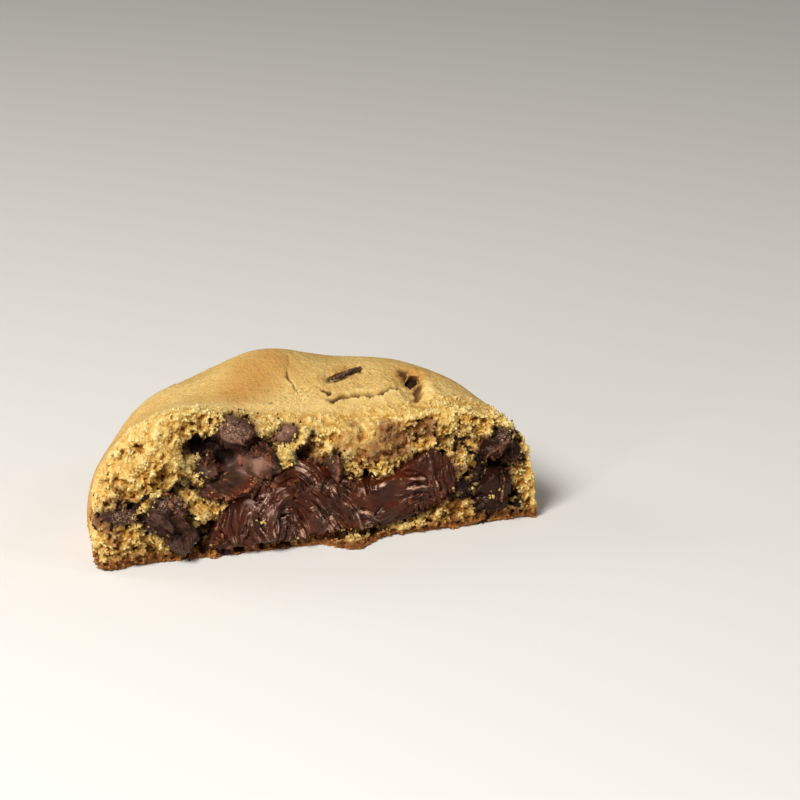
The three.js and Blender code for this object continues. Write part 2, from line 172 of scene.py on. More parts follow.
# Places in a chunk's bowl painted with shade, and places where its chocolate melted to a reddish gloss: x, z and
# radius.
PAINTED_SHADE_IN_BOWLS = [(-19.2, 19.6, 2.2), (-24, 22.8, 3), (-20.8, 21.2, 1.8), (-15.5, 22.6, 1.4)]
MELTED_CHUNK = [
    (-24.2, 13.9, 0.9), (-23, 13.6, 0.9), (-21.8, 13.4, 0.9), (-20.6, 13.4, 0.9), (-19.4, 13.6, 0.9),
    (-18.2, 13.9, 0.9), (-17, 14.3, 0.9), (-15.8, 14.7, 0.8), (-14.6, 15.1, 0.8), (34.6, 10.6, 0.5), (36, 11.6, 0.5),
    (37.2, 12.2, 0.4),
]
# Places dusted with fine crumb: x, z and radius.
DUSTY = [
    (-18.6, 26.6, 2.4), (-16.4, 25.4, 1.6), (-8, 25.4, 1.6), (-30.5, 12.5, 2), (-42, 11.5, 3), (40, 19, 1.4),
    (-34, 13, 1.4), (8, 29.2, 3), (13.4, 27.6, 3.2),
]
# Curled lips and edges on chunks, written as the strands are, then the width of the side that drops away.
EDGES = [
    ([(-25, 14.2), (-22.8, 13.5), (-20.4, 13.5), (-17.5, 14.3), (-14, 15.2)], 0.8, 1.5, 0.6),
    ([(-17.6, 24.4), (-15.6, 23), (-15, 21.4)], 0.5, 0.9),
    ([(-28.4, 6), (-29.6, 9), (-31.6, 12), (-33.6, 15.4)], 3, 0.8, 0.4),
    ([(34.6, 13), (35.3, 14.7), (37, 16.8), (40, 18.2)], 3, 1.8, 0.3),
    ([(33.6, 9.2), (34.3, 10.2), (35, 10.9), (38, 12.5)], 3, 1.8, 0.3),
    ([(38.2, 2.4), (38.5, 6), (38.9, 9), (39.6, 11.6)], 3, 1.4, 0.3),
    ([(3.5, 17.6), (3, 14.8), (3.1, 11.8)], 0.5, 1, 0.5),
    ([(39.6, 12.6), (42, 13.6), (44, 15)], 1.6, 1, 0.3),
]
# The bowl broken into the upper left chunk: how deep its floor lies, and the heights that its sides reach.
BOWL = {"Floor": 5.4, "Right": 6.0, "Left": 3.8, "Lip": 6.2}

# ---- Strands pulled in the molten heart: points by x and z from the foot of the tear, then width and rise ----
STRANDS = [
    ([(-11.2, 13.4), (-13.1, 11.5), (-15, 10), (-16.9, 8.4), (-17.8, 5.1)], 0.6, 0.7),
    ([(-13.7, 10.8), (-15, 8.3), (-14.2, 5.8), (-12.4, 3.5)], 0.7, 0.8),
    ([(-6.2, 12.3), (-8.9, 11.4), (-10.8, 9.7), (-11.9, 7.5), (-11.8, 4.9), (-11, 2.4)], 1.2, 1.5),
    ([(-9.4, 8.8), (-7.7, 9.1), (-6.5, 6.7), (-5.1, 4.2), (-4.7, 1)], 0.8, 1.1),
    ([(-10.5, 7.3), (-10.9, 4.5), (-10.6, 1.9)], 0.5, 0.7),
    ([(-8.8, 5.8), (-9.5, 3.5), (-9.9, 1.5)], 0.5, 0.8),
    ([(-7.4, 5.1), (-8.3, 1.3)], 0.45, 0.7),
    ([(-6.1, 4.5), (-5.3, 0.9)], 0.45, 0.6),
    ([(-6.2, 12.3), (-2.7, 9.3), (-1, 6.6), (1, 4.2), (1.6, 2.2)], 0.9, 1.3),
    ([(-1.4, 10), (0.4, 7.3), (1.4, 4.9), (4.6, 1.7)], 0.6, 0.9),
    ([(0.2, 7.6), (2.5, 4.2), (4.4, 2)], 0.5, 0.7),
    ([(3.1, 9.9), (5.9, 7.2), (6.9, 4.2), (7.9, 2.9)], 0.8, 1.1),
    ([(7.3, 6.8), (9, 6.4), (10.2, 5.2)], 0.5, 0.6),
    ([(8.1, 4.6), (9.4, 4.5), (10.3, 4.1)], 0.45, 0.6),
    ([(8.1, 3.6), (9.4, 3.5), (10.5, 3.6)], 0.45, 0.5),
    ([(11.2, 11.5), (14.5, 13.1), (17.6, 13), (22.4, 12.3)], 1, 1.1),
    ([(11.5, 5.6), (13.5, 7), (16.2, 7.9), (17.6, 8.6)], 0.7, 0.8),
    ([(17.6, 8.4), (19.7, 9.1), (22.4, 8.9)], 0.6, 0.9),
    ([(16.9, 10.6), (18.9, 10.9), (22.4, 10.7)], 0.6, 0.6),
    ([(23.8, 17), (23.8, 11.8), (25.5, 7.1)], 1.2, 1.2),
    ([(22.4, 12.3), (23.6, 8.7), (24.5, 5.2)], 0.6, 0.8),
    ([(1.6, 12.2), (3.6, 9.3)], 0.6, 0.7),
    ([(-19.7, 10.7), (-20.6, 7), (-19.8, 3.6)], 1, 1),
    ([(-22.3, 8.4), (-22.6, 5.7), (-21.1, 2.7)], 0.7, 0.8),
]
STRIATIONS = {"Across": 1.5, "Along": 7.0, "Rise": 0.7, "Lap": 0.9}  # ribs beside each strand
# Places on the heart that stay smooth: x, z and radius.
SMOOTH_SPOTS = [(-15.6, 11.4, 3), (-2.6, 5.2, 2.6), (14.5, 9.6, 3.6), (23.8, 14.5, 2)]
# Places where its folds are sharp and wet, and where their crests carry painted highlights and their troughs painted
# shade: x, z and radius.
SHARP = [
    (-14.9, 6.7, 3.4), (-18, 4.5, 2.2), (-7, 4.6, 3.2), (-8.1, 8.3, 2.2), (-11.4, 7, 2), (-1.1, 7.4, 2.2),
    (1.9, 4.6, 2.8), (8, 5, 2.6), (6, 7.4, 1.8), (18.9, 9.8, 3.2), (22, 11, 1.8), (-3, 14.6, 2.4), (0.8, 12.4, 2.2),
    (4.8, 11.4, 2.2), (10.4, 11, 1.8), (24.5, 13, 2.4), (-12, 11, 1.8),
]
# Places painted with a red-brown glow, as if light shone through: x, z and radius.
PAINTED_GLOWS = [(-2.6, 3.8, 3), (3, 3.6, 2.2), (6.4, 4, 1.6), (-8, 2.6, 2)]

# ---- Camera and light ----
CAMERA = {"place": (-163.125, -540.146, 229.875), "elevation": 20.0, "azimuth": -19.1526, "lens": 85.0, "sensor": 24.0}


# ------------------------------------------------------------------ helpers


def linear(code):
    """A colour written as sRGB hex, in the linear values that shaders take."""
    parts = [int(code[i : i + 2], 16) / 255 for i in (1, 3, 5)]
    return (*(c / 12.92 if c <= 0.04045 else ((c + 0.055) / 1.055) ** 2.4 for c in parts), 1.0)


SOCKETS = {"size": "Float", "seed": "Int", "solid": "Object", "finish": "Material"}
PREFIXES = ("GeometryNode", "ShaderNode", "FunctionNode", "")


def feed(node, inputs):
    """Sets inputs of a node, by name or in their order. Each is a value, or another node's output to link."""
    for socket, value in inputs.items() if isinstance(inputs, dict) else enumerate(inputs):
        if isinstance(value, bpy.types.NodeSocket):
            node.id_data.links.new(value, node.inputs[socket])
        else:
            node.inputs[socket].default_value = value


def adder(tree):
    """The one function that adds a node to this tree, and gives its output called out, or all of them for None.

    A kind is written without its prefix. After the inputs come the operation, where it has one, and its settings.
    """

    def add(kind, inputs=(), operation=None, out=0, **settings):
        node = tree.nodes.new(next(start + kind for start in PREFIXES if hasattr(bpy.types, start + kind)))
        if operation:
            node.operation = operation
        for name, value in settings.items():
            setattr(node, name, value)
        feed(node, inputs)
        return node.outputs if out is None else node.outputs[out]

    return add


def form_tree(name, **named):
    """A Geometry Nodes tree with named inputs: size=, seed=, solid= and finish= each list the names of that kind."""
    tree = bpy.data.node_groups.new(name, "GeometryNodeTree")
    for way in ("INPUT", "OUTPUT"):
        tree.interface.new_socket("Mesh", in_out=way, socket_type="NodeSocketGeometry")
    for kind, names in named.items():
        for socket in names:
            tree.interface.new_socket(socket, in_out="INPUT", socket_type="NodeSocket" + SOCKETS[kind])
    add = adder(tree)
    return tree, add, add("NodeGroupInput", out=None)


def settle(piece):
    """Makes the piece the plain mesh that its modifiers give, and removes them."""
    piece.update_tag()
    graph = bpy.context.evaluated_depsgraph_get()
    mesh = bpy.data.meshes.new_from_object(piece.evaluated_get(graph), preserve_all_data_layers=True, depsgraph=graph)
    piece.modifiers.clear()
    piece.data = mesh


def form(piece, tree, values):
    """Runs a Geometry Nodes tree on the piece with its named inputs set, and keeps the result as a plain mesh."""
    modifier = piece.modifiers.new(tree.name, "NODES")
    modifier.node_group = tree
    for item in tree.interface.items_tree:
        if item.in_out == "INPUT" and item.name in values:
            modifier[item.identifier] = values[item.name]
    settle(piece)


def new_piece(name, meshes, merged=0.0):
    """The meshes as one new piece, with points merged that lie this near to each other."""
    joined = bmesh.new()
    for mesh in meshes:
        joined.from_mesh(mesh)
    if merged:
        bmesh.ops.remove_doubles(joined, verts=joined.verts, dist=merged)
    piece = bpy.data.objects.new(name, bpy.data.meshes.new(name))
    joined.to_mesh(piece.data)
    joined.free()
    bpy.context.scene.collection.objects.link(piece)
    return piece


def cad_copy(name, *nodes):
    """The CAD solids as one new piece, with their loose triangles merged."""
    return new_piece(name, [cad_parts[node].data for node in nodes], SAME_POINT)


def remesh(piece, voxel, rounds):
    """Even faces of one size, smoothed a number of rounds to take off the CAD's flat cells."""
    modifier = piece.modifiers.new("even faces", "REMESH")
    modifier.mode = "VOXEL"
    modifier.voxel_size = voxel * MM
    if rounds:
        smooth = piece.modifiers.new("round off", "SMOOTH")
        smooth.factor = 0.5
        smooth.iterations = rounds
    settle(piece)


def vectors(items, key):
    """A mesh's places or normals as an array with three columns."""
    values = np.zeros(len(items) * 3, np.float32)
    items.foreach_get(key, values)
    return values.reshape(-1, 3).astype(float)


def places_of(piece):
    """Where the points of a piece are, in metres."""
    return vectors(piece.data.vertices, "co")


def facing_of(piece):
    """Which way the surface faces at each point of a piece."""
    return vectors(piece.data.vertex_normals, "vector")


def from_tear(places):
    """Places in metres as places in millimetres from the foot of the middle of the tear."""
    return places / MM - TEAR_MIDDLE


def move(piece, places):
    """Puts the points of a piece at these places."""
    piece.data.vertices.foreach_set("co", places.astype(np.float32).ravel())


def keep(mesh, name, values):
    """Keeps a number or a vector for each point of the mesh under a name that a node can read."""
    kind, key = ("FLOAT", "value") if values.ndim == 1 else ("FLOAT_VECTOR", "vector")
    kept = mesh.attributes.get(name) or mesh.attributes.new(name, kind, "POINT")
    kept.data.foreach_set(key, values.astype(np.float32).ravel())


def numbers(mesh, name):
    """The number kept for each point under a name."""
    values = np.zeros(len(mesh.vertices), np.float32)
    mesh.attributes[name].data.foreach_get("value", values)
    return values.astype(float)


def spots(points, circles):
    """1 in the middle of each circle, 0 outside them all."""
    share = np.zeros(len(points))
    for x, z, radius in circles:
        away = np.hypot(points[:, 0] - x, points[:, 1] - z) / radius
        share = np.maximum(share, np.exp(-(away**4)))
    return share


def dig(piece, hollows, soft, wander):
    """Digs hollows into the face of a piece, wherever it looks at the tear."""
    places = places_of(piece)
    face = from_tear(places)[:, [0, 2]]
    front = np.clip(-facing_of(piece)[:, 1] / soft, 0, 1)
    face += astray(face, wander)
    for x, z, radius, depth in hollows:
        places[:, 1] += front * depth * MM * spots(face, [(x, z, radius)])
    move(piece, places)


def dress(piece, nodes, material, smooth=True):
    """Finishes a piece that stands for CAD nodes: its material, slot and body."""
    piece.data.materials.clear()
    piece.data.materials.append(material)
    piece.data.polygons.foreach_set("use_smooth", np.full(len(piece.data.polygons), smooth))
    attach(piece, "root")
    if nodes:
        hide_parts(*nodes)
    return piece


# ------------------------------------------------------------------ the baked dough


def mark_torn(solid):
    """Tells the CAD faces of torn crumb from those of the baked crust and base."""
    mesh = solid.data
    centre = vectors(mesh.polygons, "center") / MM - TEAR_MIDDLE
    normal = vectors(mesh.polygons, "normal")
    radius = np.hypot(centre[:, 0], centre[:, 1])
    outward = (normal[:, :2] * centre[:, :2]).sum(1) / radius
    top = (normal[:, 2] > 0.3) & (centre[:, 2] > 19)
    side = (outward > 0.5) & (radius > 42)
    base = (normal[:, 2] < -0.9) & (centre[:, 2] < 0.3)
    wrapped = side & (centre[:, 0] < WRAP["x"]) & (centre[:, 1] < WRAP["y"])
    wrapped &= (centre[:, 2] < WRAP["z"][0]) | (centre[:, 2] > WRAP["z"][1])
    torn = mesh.attributes.new("torn", "FLOAT", "FACE")
    torn.data.foreach_set("value", (~(top | side | base) | wrapped).astype(np.float32))


def away_from(add, solid, part):
    """How far each point is from the CAD faces of torn crumb, part 0, or of baked crust and base, part 1."""
    cad = add("ObjectInfo", {"Object": solid}, out="Geometry")
    torn = add("InputNamedAttribute", {"Name": "torn"})
    faces = add("SeparateGeometry", [cad, torn], domain="FACE", out=part)
    return add("Proximity", [faces], out="Distance")


def torn_share(add, solid):
    """1 on torn crumb, 0 on baked crust, with a ragged edge between them."""
    away = away_from(add, solid, 0)
    ragged = add("TexNoise", {"Vector": place_in_mm(add), "Scale": 0.6, "Detail": 4.0, "Roughness": 0.7})
    far = add("MapRange", [ragged, 0.38, 0.62, 0.1, TORN_EDGE * MM])
    near = add("Math", [far, 0.4], "MULTIPLY")
    return add("MapRange", [away, near, far, 1.0, 0.0], interpolation_type="SMOOTHSTEP")


def deepest(add, solid):
    """How far down a pit may go, in mm below the face, so that thin dough under the crust stays whole."""
    away = away_from(add, solid, 1)
    return add("MapRange", [away, 0.0, 5 * MM, -0.1, -3.4])


def in_sight(add):
    """1 on the face of the tear, 0 deep in the pockets behind it."""
    back = add("SeparateXYZ", [place_in_mm(add)], out=1)
    limit = TEAR_MIDDLE[1] + FACE_DEPTH
    return add("MapRange", [back, limit, limit - 3.0], interpolation_type="SMOOTHSTEP")


def place_in_mm(add):
    """Where each point is, in millimetres."""
    place = add("InputPosition")
    return add("VectorMath", {0: place, "Scale": 1 / MM}, "SCALE")


def hug(add, mesh, chocolate, given):
    """Closes the dough on the chocolate beside it, where it stands off by less than the reach."""
    sweets = add("ObjectInfo", {"Object": chocolate}, out="Geometry")
    place = add("InputPosition")
    nearest = add("Proximity", [sweets], out=None)
    normal = add("InputNormal")
    skin = add("SampleNearestSurface", {"Mesh": sweets, "Value": normal}, data_type="FLOAT_VECTOR")
    gap = add("VectorMath", [nearest["Position"], place], "SUBTRACT")
    inside = add("VectorMath", [gap, skin], "DOT_PRODUCT", out="Value")
    outside = add("Math", [inside, 0.0], "LESS_THAN")
    reach = add("Math", [given["Reach"], MM], "MULTIPLY")
    close = add("MapRange", [nearest["Distance"], reach, 0.0005], interpolation_type="SMOOTHSTEP")
    close = add("Math", [close, outside], "MULTIPLY")
    over = add("Math", [given["Overlap"], MM], "MULTIPLY")
    over = add("VectorMath", {0: add("VectorMath", [gap], "NORMALIZE"), "Scale": over}, "SCALE")
    move = add("VectorMath", [gap, over], "ADD")
    move = add("VectorMath", {0: move, "Scale": close}, "SCALE")
    return add("SetPosition", {"Geometry": mesh, "Offset": move})


def crumb_tree():
    """Rounded crumbs of two sizes heaped on the torn face, with pits between them."""
    tree, add, given = form_tree("crumb", size=[*CLODS, *HUG], solid=["Solid", "Chocolate"])
    place = place_in_mm(add)
    heights = []
    for kind in ("Coarse", "Fine"):
        size = given[kind + " size"]
        fine = add("Math", [1.0, size], "DIVIDE")
        slow = add("Math", [0.5, size], "DIVIDE")
        stir = add("TexNoise", {"Vector": place, "Scale": slow, "Detail": 3.0}, out=1)
        stir = add("VectorMath", [stir, (0.5, 0.5, 0.5)], "SUBTRACT")
        for share in (size, 1.6):
            stir = add("VectorMath", {0: stir, "Scale": share}, "SCALE")
        stirred = add("VectorMath", [place, stir], "ADD")
        away = add("TexVoronoi", {"Vector": stirred, "Scale": fine})
        square = add("Math", [away, away], "MULTIPLY")
        round_off = add("Math", [square, -1.25, 1.0], "MULTIPLY_ADD", use_clamp=True)
        dome = add("Math", [round_off, 0.5], "POWER")
        edge = add("TexVoronoi", {"Vector": stirred, "Scale": fine}, feature="DISTANCE_TO_EDGE")
        clump = add("MapRange", [edge, 0.0, 0.2], interpolation_type="SMOOTHSTEP")
        level = add("Math", [dome, clump], "ADD")
        level = add("Math", [level, 0.5, -0.8], "MULTIPLY_ADD")
        heights.append(add("Math", [level, given[kind + " rise"]], "MULTIPLY"))
    sparse = add("Math", [1.0, given["Pit size"]], "DIVIDE")
    holes = add("TexNoise", {"Vector": place, "Scale": sparse, "Detail": 2.0, "Distortion": 0.8})
    deep = add("Math", [given["Pit depth"], -1.0], "MULTIPLY")
    pit = add("MapRange", [holes, 0.58, 0.65, 0.0, deep], interpolation_type="SMOOTHSTEP")
    rise = add("Math", [add("Math", heights, "ADD"), pit], "ADD")
    torn = add("Math", [torn_share(add, given["Solid"]), in_sight(add)], "MULTIPLY")
    rise = add("Math", [rise, torn], "MULTIPLY")
    rise = add("Math", [rise, deepest(add, given["Solid"])], "MAXIMUM")
    grown = hug(add, raised(add, given["Mesh"], rise), given["Chocolate"], given)
    add("NodeGroupOutput", [grown], out=None)
    return tree


def raised(add, mesh, rise):
    """The mesh with each point moved along its normal by a rise in millimetres."""
    normal = add("InputNormal")
    normal = add("VectorMath", {0: normal, "Scale": MM}, "SCALE")
    offset = add("VectorMath", {0: normal, "Scale": rise}, "SCALE")
    return add("SetPosition", {"Geometry": mesh, "Offset": offset})


def crust_tree():
    """The low relief of the baked crust: slow swells, pimples and open pores."""
    tree, add, given = form_tree("crust", size=list(CRUST), solid=["Solid"])
    place = place_in_mm(add)
    crumbly = add("InputNamedAttribute", {"Name": "crumbly"})
    rise = None
    for kind in ("Swell", "Pimple"):
        fine = add("Math", [1.0, given[kind + " size"]], "DIVIDE")
        wave = add("TexNoise", {"Vector": place, "Scale": fine, "Detail": 2.0})
        wave = add("Math", [wave, 0.5], "SUBTRACT")
        wave = add("Math", [wave, given[kind + " rise"]], "MULTIPLY")
        more = add("Math", [crumbly, 5.0 if kind == "Pimple" else 0.0, 1.0], "MULTIPLY_ADD")
        wave = add("Math", [wave, more], "MULTIPLY")
        rise = wave if rise is None else add("Math", [rise, wave], "ADD")
    fine = add("Math", [1.0, given["Pore size"]], "DIVIDE")
    away = add("TexVoronoi", {"Vector": place, "Scale": fine})
    pore = add("MapRange", [away, 0.14, 0.06], interpolation_type="SMOOTHSTEP")
    pore = add("Math", [pore, given["Pore depth"]], "MULTIPLY")
    rise = add("Math", [rise, pore], "SUBTRACT")
    crust = add("Math", [1.0, torn_share(add, given["Solid"])], "SUBTRACT")
    rise = add("Math", [rise, crust], "MULTIPLY")
    add("NodeGroupOutput", [raised(add, given["Mesh"], rise)], out=None)
    return tree


def nearest_on(line, points):
    """For points in a plane: how far each is from a smooth path through the line, on which side, and how far along."""
    path = strand_points(line)
    start = 0.0
    near, side, along = np.full(len(points), 1e9), np.zeros(len(points)), np.zeros(len(points))
    for a, b in zip(path, path[1:]):
        step = b - a
        length = max(np.hypot(*step), 1e-6)
        t = np.clip(((points - a) @ step) / length**2, 0, 1)
        gap = points - a - t[:, None] * step
        away = np.hypot(*gap.T)
        closer = away < near
        near[closer] = away[closer]
        side[closer] = np.sign(step[0] * gap[closer, 1] - step[1] * gap[closer, 0])
        along[closer] = start + t[closer] * length
        start += length
    return near, side, along, start


def astray(points, share):
    """A steady random wander for points in a plane, as waves of several lengths with a height of a share of each."""
    chance = np.random.default_rng(11)
    wander = np.zeros_like(points)
    for length in (7.0, 4.1, 2.3, 1.5, 0.9):
        waves, start = chance.normal(size=(2, 2)) * 4 / length, chance.uniform(0, 6.3, 2)
        wander += share * length * np.sin(points @ waves + start)
    return wander


def open_cracks(dough):
    """Opens each crack in the crust, wider and narrower along its way, and keeps how much painted shade darkens its
    inside.
    """
    places, normal = places_of(dough), facing_of(dough)
    crust = np.flatnonzero((normal[:, 2] > 0.4) & (places[:, 2] > 19 * MM))
    plan = from_tear(places[crust])[:, :2]
    plan += astray(plan, 0.035)
    painted_crack_shade = np.zeros(len(places))
    for line, width, depth in CRACKS:
        near, _, along, whole = nearest_on(line, plan)
        near *= 1 + 0.5 * np.sin(4.3 * along) * np.sin(2.1 * along + 1)
        open_share = np.sqrt(np.clip(4 * (along / whole) * (1 - along / whole), 0, 1))
        open_share *= 0.75 + 0.25 * np.sin(0.7 * along + width * 30)
        inside = open_share * np.exp(-((near / width) ** 2))
        lips = open_share * np.exp(-((near / width - 2.4) ** 2))
        places[crust, 2] += (0.2 * lips - inside) * depth * MM
        painted_crack_shade[crust] = np.maximum(painted_crack_shade[crust], inside * min(1, depth / 0.7))
    move(dough, places)
    keep(dough.data, "painted_crack_shade", painted_crack_shade)


def marks_tree():
    """Keeps on each point what its material needs: its torn share, how far it stands out, how near chocolate is."""
    tree, add, given = form_tree("marks", solid=["Solid", "Chocolate"])
    place = place_in_mm(add)
    normal = add("InputNormal")
    around = add("BlurAttribute", {"Value": place, "Iterations": 30}, data_type="FLOAT_VECTOR")
    facing = add("BlurAttribute", {"Value": normal, "Iterations": 30}, data_type="FLOAT_VECTOR")
    stands = add("VectorMath", [place, around], "SUBTRACT")
    height = add("VectorMath", [stands, facing], "DOT_PRODUCT", out="Value")
    cad = add("ObjectInfo", {"Object": given["Solid"]}, out="Geometry")
    foot = add("Proximity", [cad], out="Position")
    foot = add("VectorMath", {0: foot, "Scale": 1 / MM}, "SCALE")
    outward = add("SampleNearestSurface", {"Mesh": cad, "Value": normal}, data_type="FLOAT_VECTOR")
    stands = add("VectorMath", [place, foot], "SUBTRACT")
    above = add("VectorMath", [stands, outward], "DOT_PRODUCT", out="Value")
    sweets = add("ObjectInfo", {"Object": given["Chocolate"]}, out="Geometry")
    near = add("Proximity", [sweets], out="Distance")
    near = add("Math", [near, 1 / MM], "MULTIPLY")
    torn = add("Math", [torn_share(add, given["Solid"]), in_sight(add)], "MULTIPLY")
    sparse = add("TexNoise", {"Vector": place, "Scale": 0.35, "Detail": 2.0})
    clear = add("MapRange", [sparse, 0.4, 0.6, 0.15])
    share = add("Math", [torn, clear], "MULTIPLY")
    out = add("MapRange", [height, -0.25, 0.1])
    share = add("Math", [share, out], "MULTIPLY")
    kept = {"torn": torn, "height": height, "above": above, "near_chocolate": near, "share": share}
    add("NodeGroupOutput", [marked(add, given["Mesh"], kept)], out=None)
    return tree


def marked(add, mesh, kept):
    """The mesh with values kept on its points under their names."""
    for name, value in kept.items():
        mesh = add("StoreNamedAttribute", {"Geometry": mesh, "Name": name, "Value": value})
    return mesh


def thin_out(piece, triangles):
    """Takes faces out where the surface is smooth, down to a number of triangles."""
    piece.data.calc_loop_triangles()
    modifier = piece.modifiers.new("thin out", "DECIMATE")
    modifier.ratio = min(1.0, triangles / len(piece.data.loop_triangles))
    settle(piece)


def flatten_base(piece):
    """The base is as flat as the tray that it was baked on."""
    places = places_of(piece)
    places[:, 2] = np.maximum(places[:, 2], 0.0)
    move(piece, places)


def make_dough(material, chocolate):
    solid = cad_copy("dough_solid", "dough")
    mark_torn(solid)
    dough = cad_copy("baked_dough", "dough")
    tree = crumb_tree()
    near = {"Solid": solid, "Chocolate": chocolate, **HUG}
    remesh(dough, DOUGH_VOXEL, 10)
    dig(dough, HOLES, 0.4, 0.12)
    form(dough, tree, {**CLODS, **near})
    remesh(dough, CRUMB_VOXEL, 1)
    form(dough, tree, {**CRUMBS, **near})
    plan = from_tear(places_of(dough))[:, :2]
    keep(dough.data, "crumbly", spots(plan + astray(plan, 0.2), CRUMBLY))
    form(dough, crust_tree(), {**CRUST, "Solid": solid})
    open_cracks(dough)
    form(dough, marks_tree(), {"Solid": solid, "Chocolate": chocolate})
    thin_out(dough, DOUGH_TRIANGLES)
    flatten_base(dough)
    places = from_tear(places_of(dough))
    keep(dough.data, "browned", spots(places[:, :2], BROWNED))
    face = places[:, ::2] + astray(places[:, ::2], 0.2)
    # Stains, smears, and painted shade on the torn face.
    for name, circles in (("painted_shade", PAINTED_SHADE_SPOTS), ("stained", STAINED), ("smeared", SMEARED)):
        keep(dough.data, name, spots(face, circles))
    bpy.data.objects.remove(solid)
    return dress(dough, ["dough"], material)


def scatter_tree():
    """Small lumpy pieces set into a surface, where its share says, each turned and sized by chance."""
    tree, add, given = form_tree("scatter", size=GRAIN_SIZES[:-1], seed=["Seed"], finish=["Finish"])
    seed = given["Seed"]
    share = add("InputNamedAttribute", {"Name": "share"})
    spacing = add("Math", [given["Spacing"], MM], "MULTIPLY")
    density = add("Math", [given["Density"], MM**-2], "MULTIPLY")
    where = {"Mesh": given["Mesh"], "Distance Min": spacing, "Density Max": density}
    where.update({"Density Factor": share, "Seed": seed})
    points = add("DistributePointsOnFaces", where, distribute_method="POISSON", out="Points")
    radius = add("Math", [given["Size"], MM / 2], "MULTIPLY")
    lump = add("MeshIcoSphere", {"Radius": radius, "Subdivisions": 1})
    shape = add("CombineXYZ", [given["Long"], 1.0, given["Thin"]])
    lump = add("Transform", {"Geometry": lump, "Scale": shape})
    turn = {0: (0, 0, 0), 1: (2 * math.pi,) * 3, "Seed": seed}
    turn = add("RandomValue", turn, data_type="FLOAT_VECTOR")
    grow = add("RandomValue", {2: 0.4, 3: 1.3, "Seed": seed}, out=1)
    laid = {"Points": points, "Instance": lump, "Rotation": turn, "Scale": grow}
    laid = add("InstanceOnPoints", laid)
    tint = add("RandomValue", {2: 0.0, 3: 1.0, "Seed": seed}, out=1)
    laid = add("StoreNamedAttribute", {"Geometry": laid, "Name": "tint", "Value": tint}, domain="INSTANCE")
    real = add("RealizeInstances", [laid])
    stray = add("TexNoise", {"Vector": place_in_mm(add), "Scale": 2.0}, out=1)
    stray = add("VectorMath", [stray, (0.5, 0.5, 0.5)], "SUBTRACT")
    far = add("Math", [given["Stray"], 2 * MM], "MULTIPLY")
    stray = add("VectorMath", {0: stray, "Scale": far}, "SCALE")
    real = add("SetPosition", {"Geometry": real, "Offset": stray})
    done = add("SetMaterial", {"Geometry": real, "Material": given["Finish"]})
    add("NodeGroupOutput", [done], out=None)
    return tree


def scatter(name, source, material):
    """A piece of small things set into the source's surface."""
    piece = bpy.data.objects.new(name, source.data.copy())
    bpy.context.scene.collection.objects.link(piece)
    form(piece, scattered, {**dict(zip(GRAIN_SIZES, GRAINS[name])), "Finish": material})
    flatten_base(piece)
    return dress(piece, [], material, smooth=False)


# ------------------------------------------------------------------ the molten heart


def strand_points(line, steps=12):
    """A smooth path through a strand's points, by Catmull-Rom."""
    points = np.array([line[0], *line, line[-1]], float)
    path = []
    for a, b, c, d in zip(points, points[1:], points[2:], points[3:]):
        for t in np.linspace(0, 1, steps, endpoint=False):
            bend, twist = 2 * a - 5 * b + 4 * c - d, 3 * b - a - 3 * c + d
            path.append(0.5 * (2 * b + (c - a) * t + bend * t**2 + twist * t**3))
    return np.array([*path, points[-1]])


def pull_strands(piece, strands, smooth):
    """Raises a sharp fold along each strand, falling away softly on one side and steeply on the other."""
    mesh = piece.data
    places = places_of(piece)
    face = from_tear(places)[:, [0, 2]]
    front = np.clip((-facing_of(piece)[:, 1] - 0.1) / 0.5, 0, 1)
    rise = np.zeros(len(face))
    best = np.full(len(face), 1e9)
    pull = np.zeros((len(face), 3))
    for number, (line, width, raised_by, *steep) in enumerate(strands):
        near, side, along, whole = nearest_on(line, face)
        steep = steep[0] if steep else 0.35 * width
        fold = np.where(side > 0, np.exp(-near / steep), np.exp(-near / width))
        taper = np.clip(along / 1.5, 0.2, 1) * np.clip((whole - along) / 1.5, 0.2, 1)
        rise = np.maximum(rise, raised_by * fold * taper)
        nearer = near / width < best
        best[nearer] = (near / width)[nearer]
        pull[nearer] = np.stack([along, near * side, np.full(len(face), 7.3 * (number + 1))], 1)[nearer]
    places[:, 1] -= rise * front * MM
    move(piece, places)
    keep(mesh, "pull", pull)
    keep(mesh, "ribbed", front * (1 - spots(face, smooth)))
    keep(mesh, "painted_glow", spots(face, PAINTED_GLOWS))
    keep(mesh, "sharp", spots(face + astray(face, 0.15), SHARP))


def striations_tree():
    """Ribs that run along the strands, as pulled chocolate leaves, and a wandering edge that laps on the crumb."""
    tree, add, given = form_tree("striations", size=list(STRIATIONS))
    pull = add("InputNamedAttribute", {"Name": "pull"}, data_type="FLOAT_VECTOR")
    ribbed = add("InputNamedAttribute", {"Name": "ribbed"})
    parts = add("SeparateXYZ", [pull], out=None)
    u = add("Math", [parts[0], given["Along"]], "DIVIDE")
    v = add("Math", [parts[1], given["Across"]], "DIVIDE")
    ribs = add("CombineXYZ", [u, v, parts[2]])
    ribs = add("TexNoise", {"Vector": ribs, "Scale": 1.0, "Detail": 2.0, "Distortion": 0.3})
    ribs = add("Math", [ribs, 0.5], "SUBTRACT")
    ribs = add("Math", [ribs, ribs], "MULTIPLY")
    ribs = add("Math", [ribs, -40.0, 1.0], "MULTIPLY_ADD", use_clamp=True)
    ribs = add("Math", [ribs, 0.3], "SUBTRACT")
    ribs = add("Math", [ribs, ribbed], "MULTIPLY")
    ribs = add("Math", [ribs, given["Rise"]], "MULTIPLY")
    slow = add("TexNoise", {"Vector": place_in_mm(add), "Scale": 0.3, "Detail": 2.0})
    slow = add("Math", [slow, 0.4], "SUBTRACT")
    slow = add("Math", [slow, given["Lap"]], "MULTIPLY")
    rise = add("Math", [ribs, slow], "ADD")
    add("NodeGroupOutput", [raised(add, given["Mesh"], rise)], out=None)
    return tree


